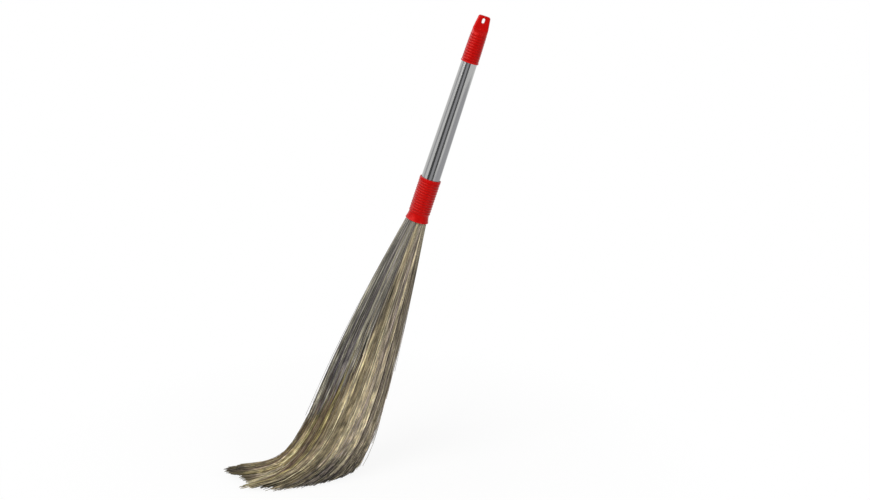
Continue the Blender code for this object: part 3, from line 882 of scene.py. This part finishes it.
# The tuft: where it borders on the rest, where it ends, and how it lies.
TUFT_BORDER, TUFT_BORDER_WIDTH = 0.48, 0.20
TUFT_FROM, SAG_FROM = 0.72, 0.68
TUFT_GATHER, TUFT_DEPTH = 0.50, -0.10
TUFT_END, TUFT_RAGGED, TUFT_EVENNESS = 0.401, 0.034, 0.8
TUFT_SLANT, TUFT_SLANT_FROM = 0.087, 0.2
TUFT_CURL, TUFT_STAGGER, TUFT_SAG = 0.005, 0.22, 0.007


def drift(chance, reach):
    """A random step in a circle, as a share to the right and a share to the back."""
    bearing, strength = chance.uniform(0, math.tau), reach * math.sqrt(chance.random())
    return strength * math.cos(bearing), strength * math.sin(bearing)


def slanting_length(right, back):
    """A stem's length in the short grey layer."""
    return SHORT_END - SHORT_SLANT * right - SHORT_BEND * right**2


# %% Draw the path of a strand
def tuft_share(right, share):
    """How much a place belongs to the tuft, from 0 to 1."""
    inside = clamp((-right - TUFT_BORDER) / TUFT_BORDER_WIDTH)
    return inside * max(0.0, (share - TUFT_FROM) / (1 - TUFT_FROM))


def lay_down(place, right, back, share, in_tuft, uneven):
    """Moves a place at the left of the fan into the tuft that lies on the floor."""
    tuft_end = mouth.x - TUFT_END + TUFT_SLANT * max(0.0, -back - TUFT_SLANT_FROM) + uneven
    place.x += in_tuft**2 * (tuft_end - place.x)
    place.z += (TUFT_CURL + TUFT_STAGGER * (uneven - TUFT_RAGGED / 2)) * in_tuft**2
    if right < 0:
        sagging = max(0.0, share - SAG_FROM) / (1 - SAG_FROM)
        place.z += TUFT_SAG * right * math.sin(math.pi * sagging)
    place.z = max(place.z, FLOOR_GAP)


def strand_path(chance, lock, right, back, ends_at, squeeze, strays):
    """The middles of a strand's cross-sections in the fan."""
    aside = drift(chance, STRAY_DRIFT if strays else STEM_DRIFT)
    outward = 0.0
    if strays:
        outward = STRAY_LEAST + (1 - STRAY_LEAST) * chance.random() ** STRAY_RARITY
        outward *= STRAY_REACH
    aside = (aside[0] + outward * right, aside[1] + outward * back)
    wave, phase = chance.uniform(-STEM_WAVE, STEM_WAVE), chance.uniform(0, math.tau)
    uneven = TUFT_RAGGED * chance.random() ** TUFT_EVENNESS
    path = []
    for level in STRAND_LEVELS:
        share = level * ends_at
        closing = LOCK_CLOSING * share
        leaving = min(1, LEAVING * share)
        own = 2 * share * (STRAY_BEND - share) if strays else leaving
        sway = wave * math.sin(phase + STEM_WAVE_TURNS * share) * min(1, 4 * share)
        r, b = (
            start + (lock["place"][way] - start) * closing
            + lock["drift"][way] * leaving + aside[way] * own + sway
            for way, start in enumerate((right, back)))
        under = 1 - squeeze * clamp((slanting_length(right, back) + LAP - share) / LAP_FADES)
        drawn = 1 - (1 - DRAWN_IN) * min(1, 3 * share, 5 * (1.05 - share))
        in_tuft = tuft_share(r, share)
        b += TUFT_GATHER * in_tuft * (TUFT_DEPTH - b)
        place = fan_place(r * under * drawn, b * under, share)
        lay_down(place, r, b, share, in_tuft, uneven)
        path.append(place)
    return path


# %% [markdown]
# ## Streaks and painted shadows
# The photograph shows some pale locks and dark slits that are larger than chance
# makes them. Each row below is one: where it starts and ends across the fan, half
# its width, where it starts and ends along the fan, and how much paler it is. Two
# dark rows are painted shadow: in the slit beside the pale front lock, and in the
# hollow under the worn front tips.

# %% Pale and dark streaks
STREAKS_AND_PAINTED_SHADOWS = (
    (0.28, 0.05, 0.05, 0.00, 0.14, 0.18),
    (0.17, 0.15, 0.06, 0.11, 0.22, -1.0),
    (0.02, -0.10, 0.11, 0.24, 0.48, 0.55),
    # Painted shadow in the slit where the pale front lock overlaps the stems at its left.
    (-0.12, -0.17, 0.06, 0.23, 0.37, -1.0),
    (-0.45, -0.80, 0.11, 0.42, 0.60, 0.15),
    (-0.80, -0.42, 0.08, 0.58, 0.98, 0.36),
    # Painted shadow in the hollow under the worn front tips.
    (-0.06, 0.00, 0.20, 0.91, 1.01, -0.9),
    (0.50, 0.45, 0.30, 0.30, 0.66, 0.20),
    (0.55, 0.68, 0.50, 0.72, 1.01, -0.28),
    (-0.45, -0.45, 0.40, 0.10, 0.21, -0.14),
    (-0.95, -0.95, 0.45, 0.88, 1.01, -0.28),
)
PALER_BELOW = 0.21
PALER_FROM, PALER_TO = 0.3, 0.7


def streaked(tone, right, back, share):
    """A stem's tone here: paler towards the floor, with the streaks and painted shadows of the
    front on top.
    """
    tone += PALER_BELOW * (min(share, PALER_TO) - PALER_FROM)
    for first_right, last_right, half_width, first, last, change in STREAKS_AND_PAINTED_SHADOWS:
        if back < 0 and first <= share <= last:
            middle = first_right + (last_right - first_right) * (share - first) / (last - first)
            tone += change * max(0.0, 1 - ((right - middle) / half_width) ** 4)
    return clamp(tone)


# %% [markdown]
# ## A hank of strands
# Strands of hair are lost when a model is exported, so these are meshes. They start
# as loose small triangles, side by side in the pack. Chance plans a strand for
# each, and then all the triangles are extruded together, from the butts in the
# tube down to the tips. Three sides are enough for a strand as thin as this.

# %% Lay out the stems
LOCK_STEMS, BIG_LOCK_STEMS = 3, 8
PATCH_REACH = 1.339
TRIANGLE_ROW = math.sqrt(3) / 2


def stem_patch(pitch, belongs):
    """A loose small triangle for each stem, over the part of the pack that belongs to a hank."""
    bm = bmesh.new()
    across = 2 * math.ceil(PATCH_REACH * PACK_RADIUS / pitch)
    bmesh.ops.create_grid(bm, x_segments=across, y_segments=across, size=across * pitch / 2)
    skew = Matrix(((1, 0.5, 0, 0), (0, TRIANGLE_ROW, 0, 0), (0, 0, 1, 0), (0, 0, 0, 1)))
    bmesh.ops.transform(bm, matrix=skew, verts=bm.verts)
    bmesh.ops.triangulate(bm, faces=bm.faces, quad_method="SHORT_EDGE")
    spare = []
    for face in bm.faces:
        middle = face.calc_center_median() / PACK_RADIUS
        rows = sorted(corner.co.y for corner in face.verts)
        if rows[1] - rows[0] > rows[2] - rows[1] or not belongs(middle.x, middle.y):
            spare.append(face)
    bmesh.ops.delete(bm, geom=spare, context="FACES")
    bmesh.ops.split_edges(bm, edges=bm.edges)
    return bm


def cell_of(column, row, stems):
    """The lock that a stem belongs to, when a lock has this many stems each way."""
    return math.floor(column / stems), math.floor(row / stems)


def new_lock(chance, right, back):
    """A lock's middle, its drift, its tone and hue and how short it is."""
    return {
        "place": (right, back), "drift": drift(chance, LOCK_DRIFT),
        "tone": chance.random(), "hue": chance.random(), "short": chance.random(),
    }


# %% [markdown]
# A stem is like its neighbours but never the same. Its tone and hue are partly
# those of its locks and partly its own, and one stem in four is much darker. A
# hank is planned as a whole before it is drawn, so that it can grow in one go.

# %% Plan one strand
STEM_RAGGED = 0.05
BROKEN_FROM = 0.45
DARK_STEMS, DARK_SHADE = 0.26, 0.2
BIG_LOCK_TONE, LOCK_TONE, STEM_TONE, STRAY_TONE = 0.12, 0.26, 0.62, 0.6
LOCK_HUE, STEM_HUE, HUE_CONTRAST = 0.55, 0.45, 1.5


def plan_strand(chance, lock, big_tone, right, back, growth):
    """All that a strand is: its place, path, end, tone and hue, and how it is turned."""
    length_of, ragged, squeeze = growth
    strays = chance.random() < STRAY_SHARE * (1 + abs(right))
    lock_end = 1 - ragged * lock["short"] ** 2
    ends_at = length_of(right, back) * (lock_end - STEM_RAGGED * chance.random() ** 3)
    if strays:
        ends_at *= chance.uniform(BROKEN_FROM, 1)
    path = strand_path(chance, lock, right, back, ends_at, squeeze, strays)
    shade = chance.random()
    if shade < DARK_STEMS:
        shade *= DARK_SHADE
    tone = BIG_LOCK_TONE * big_tone + LOCK_TONE * lock["tone"] + STEM_TONE * shade
    hue = LOCK_HUE * lock["hue"] + STEM_HUE * chance.random()
    return {
        "right": right, "back": back, "path": path, "ends_at": ends_at, "strays": strays,
        "tone": tone * (STRAY_TONE if strays else 1),
        "hue": clamp(0.5 + HUE_CONTRAST * (hue - 0.5)),
        "turned": Matrix.Rotation(chance.uniform(0, math.tau), 2),
    }


# %% Plan a hank
STEM_JITTER = 0.4
SIDE_FROM_BACK = 0.3


def plan_strands(bm, chance, pitch, growth):
    """Plans a strand on each triangle and stores what stays the same along it."""
    hue, _, _, kin, side = (bm.verts.layers.float.new(word) for word in STRAND_WORDS)
    corner_number = bm.verts.layers.int.new("corner")
    strand_number = bm.faces.layers.int.new("strand")
    locks, big_tones, strands = {}, {}, []
    for face in bm.faces:
        middle = face.calc_center_median()
        right, back = middle.x / PACK_RADIUS, middle.y / PACK_RADIUS
        row = middle.y / (pitch * TRIANGLE_ROW)
        column = middle.x / pitch - row / 2
        cell, big_cell = (cell_of(column, row, n) for n in (LOCK_STEMS, BIG_LOCK_STEMS))
        if cell not in locks:
            locks[cell] = new_lock(chance, right, back)
        if big_cell not in big_tones:
            big_tones[big_cell] = chance.random()
        right += chance.uniform(-STEM_JITTER, STEM_JITTER) * pitch / PACK_RADIUS
        back += chance.uniform(-STEM_JITTER, STEM_JITTER) * pitch / PACK_RADIUS
        strand = plan_strand(chance, locks[cell], big_tones[big_cell], right, back, growth)
        face[strand_number] = len(strands)
        strands.append(strand)
        for at, corner in enumerate(face.verts):
            corner[corner_number] = at
            corner[hue] = strand["hue"]
            corner[kin] = locks[cell]["tone"]
            corner[side] = right + SIDE_FROM_BACK * back
    return strands


# %% Place the cross-sections
STRAND_WIDTH, TIP_WIDTH, STRAY_WIDTH = 0.00125, 0.00100, 0.00080
FULL_WIDTH_AT = 0.18
# Where the butts' ends lie over the mouth, and how narrow the pack is there.
BUTT_LEVELS = ((0.160, 0.86), (0.021, 0.86))
PACK_AXES = tuple(ON_HANDLE.to_3x3() @ Vector(axis) for axis in ((1, 0, 0), (0, 1, 0)))


def cross_axes(direction):
    """Two directions across a strand."""
    right = direction.cross(Vector((0, 1, 0))).normalized()
    return right, right.cross(direction).normalized()


def cross_section(strand, level, pitch, fatness):
    """A cross-section's middle, its two axes, its width and its share along the fan."""
    at = level - len(BUTT_LEVELS)
    if at < 0:
        height, narrowed = BUTT_LEVELS[level]
        x, y = (strand[way] * narrowed * PACK_RADIUS for way in ("right", "back"))
        return ON_HANDLE @ Vector((x, y, height)), PACK_AXES, pitch * narrowed, 0.0
    path, share = strand["path"], STRAND_LEVELS[at] * strand["ends_at"]
    full_width = STRAY_WIDTH if strand["strays"] else STRAND_WIDTH * fatness
    width = min(pitch + (full_width - pitch) * share / FULL_WIDTH_AT, full_width)
    if at == len(path) - 1:
        width = min(width, TIP_WIDTH)
    axes = cross_axes(path[min(at + 1, len(path) - 1)] - path[max(at - 1, 0)])
    return path[at], axes, width, share


# %% Draw a hank
def draw_strands(bm, strands, pitch, fatness):
    """Extrudes every triangle along its strand, and closes the butts that this leaves open."""
    _, tone, along, _, _ = (bm.verts.layers.float[word] for word in STRAND_WORDS)
    corner_number, strand_number = bm.verts.layers.int["corner"], bm.faces.layers.int["strand"]
    faces = list(bm.faces)
    middle = faces[0].calc_center_median()
    offsets = [((corner.co - middle) / pitch).to_2d() for corner in faces[0].verts]
    for level in range(len(BUTT_LEVELS) + len(STRAND_LEVELS)):
        if level:
            faces = bmesh.ops.extrude_discrete_faces(bm, faces=faces)["faces"]
        for face in faces:
            strand = strands[face[strand_number]]
            place, axes, width, share = cross_section(strand, level, pitch, fatness)
            tone_here = streaked(strand["tone"], strand["right"], strand["back"], share)
            for corner in face.verts:
                offset = strand["turned"] @ offsets[corner[corner_number]]
                corner.co = place + (offset.x * width) * axes[0] + (offset.y * width) * axes[1]
                corner[along] = share
                corner[tone] = tone_here
    open_ends = [edge for edge in bm.edges if edge.is_boundary]
    bmesh.ops.holes_fill(bm, edges=open_ends, sides=3)
    bmesh.ops.recalc_face_normals(bm, faces=bm.faces)


def grass_piece(name, look, replaced, belongs, growth, pitch, seed, fatness=1.0):
    """A hank of fine strands, on the stems of the pack that belong to it.

    Its growth is a function for each stem's length, how ragged the locks end, and
    how much the hank is squeezed under the short grey layer.
    """
    chance = random.Random(seed)
    bm = stem_patch(pitch, belongs)
    strands = plan_strands(bm, chance, pitch, growth)
    draw_strands(bm, strands, pitch, fatness)
    print(f"{name}: {len(strands)} strands")
    finish_piece(name, bm, look, replaced, sharp_angle=None)


# %% [markdown]
# ## The hanks
# Six hanks were packed side by side, and the map below says which stem is whose. The
# outer strands are fine, because they are seen, and those inside are coarser.
# Over the front left lies a seventh, short layer of grey stems, which ends in
# a slanting ragged edge. The straw under it comes out below that edge.

# %% Map the pack
CAD_STEM_PITCH = 0.00191
OUTER_PITCH, INNER_PITCH = 0.00029, 0.00054
INNER_FATNESS = 1.5
SHELL = 0.76
BLENDING = 0.26
BLEND_PATCHES, SHORT_PATCHES = 11, 14
SHORT_BORDER, SHORT_LOOSENESS = -0.08, 0.45
SHORT_BACK, SHORT_INSIDE, SHORT_OUTSIDE = 0.15, 0.90, 1.015


def hank_of(right, back):
    """The hank of a place in the pack. The numbers are rows and columns of CAD stems."""
    row_place = back * PACK_RADIUS / (CAD_STEM_PITCH * TRIANGLE_ROW)
    row = math.floor(row_place)
    column = math.floor(right * PACK_RADIUS / CAD_STEM_PITCH - row_place / 2)
    if row < -3:
        return ("tuft", "front", "right")[(column >= 2) + (column >= 8)]
    if row < 3:
        return ("tuft" if row < 0 else "left", "core", "right")[(column >= -3) + (column >= 4)]
    return ("left", "back", "right")[(column >= -6) + (column >= 1)]


def blended_hank(right, back):
    """Stems at a hank's border mix with those of the next hank, in small patches."""
    here = Vector((BLEND_PATCHES * right, BLEND_PATCHES * back, 0))
    there = here + Vector((0, 0, 7))
    return hank_of(right + BLENDING * noise.noise(here), back + BLENDING * noise.noise(there))


def outer_of(hank):
    return lambda right, back: (
        SHELL <= math.hypot(right, back) < 1 and blended_hank(right, back) == hank)


def inner_of(hank):
    return lambda right, back: math.hypot(right, back) < SHELL and hank_of(right, back) == hank


def over_front_left(right, back):
    """The short grey layer: thick at the left, and in loose patches towards the middle."""
    patch = noise.noise(Vector((SHORT_PATCHES * right, SHORT_PATCHES * back, 3)))
    if right >= SHORT_BORDER + SHORT_LOOSENESS * patch or back >= SHORT_BACK:
        return False
    return SHORT_INSIDE <= math.hypot(right, back) < SHORT_OUTSIDE


# %% Set the lengths
TUFT_OUTERMOST, TUFT_SHORTER = -0.55, 0.975
HOLLOW_MIDDLE, HOLLOW_HALF_WIDTH, HOLLOW_LENGTH = -0.03, 0.18, 0.985


def always(length):
    """One length for all the stems of a hank."""
    return lambda right, back: length


def tuft_length(right, back):
    """The tuft's stems are a little shorter apart from those of its outermost lock."""
    return 1.0 if right < TUFT_OUTERMOST else TUFT_SHORTER


def hollow_length(right, back):
    """Full length, apart from the worn place in the middle of the front."""
    in_hollow = abs(right - HOLLOW_MIDDLE) < HOLLOW_HALF_WIDTH and back < 0
    return HOLLOW_LENGTH if in_hollow else 1.0


STRAW, GREY = "grass_straw", "grass_grey"
# Each row has a hank, its look and its growth.
HANKS = (
    ("left", (grey, GREY), (always(0.74), 0.20, 0.0)),
    ("tuft", (russet, STRAW), (tuft_length, 0.03, 0.06)),
    ("front", (straw, STRAW), (hollow_length, 0.24, 0.03)),
    ("core", (olive, STRAW), (always(1.0), 0.05, 0.0)),
    ("right", (mauve, STRAW), (always(1.0), 0.20, 0.0)),
    ("back", (grey, GREY), (always(1.0), 0.05, 0.0)),
)
INNER_SEED, OUTER_SEED, SHORT_SEED = 40, 20, 60

# %% Grow the hanks
for number, (hank, look, growth) in enumerate(HANKS):
    solid = "grass_hank_" + hank
    grass_piece(
        f"grass_{hank}_inner", look, solid, inner_of(hank), growth,
        INNER_PITCH, INNER_SEED + number, INNER_FATNESS)
    if hank != "core":
        grass_piece(
            f"grass_{hank}_outer", look, solid, outer_of(hank), growth,
            OUTER_PITCH, OUTER_SEED + number)
grass_piece(
    "grass_short_grey", (grey, GREY), "grass_hank_tuft", over_front_left,
    (slanting_length, 0.30, 0.0), OUTER_PITCH, SHORT_SEED)
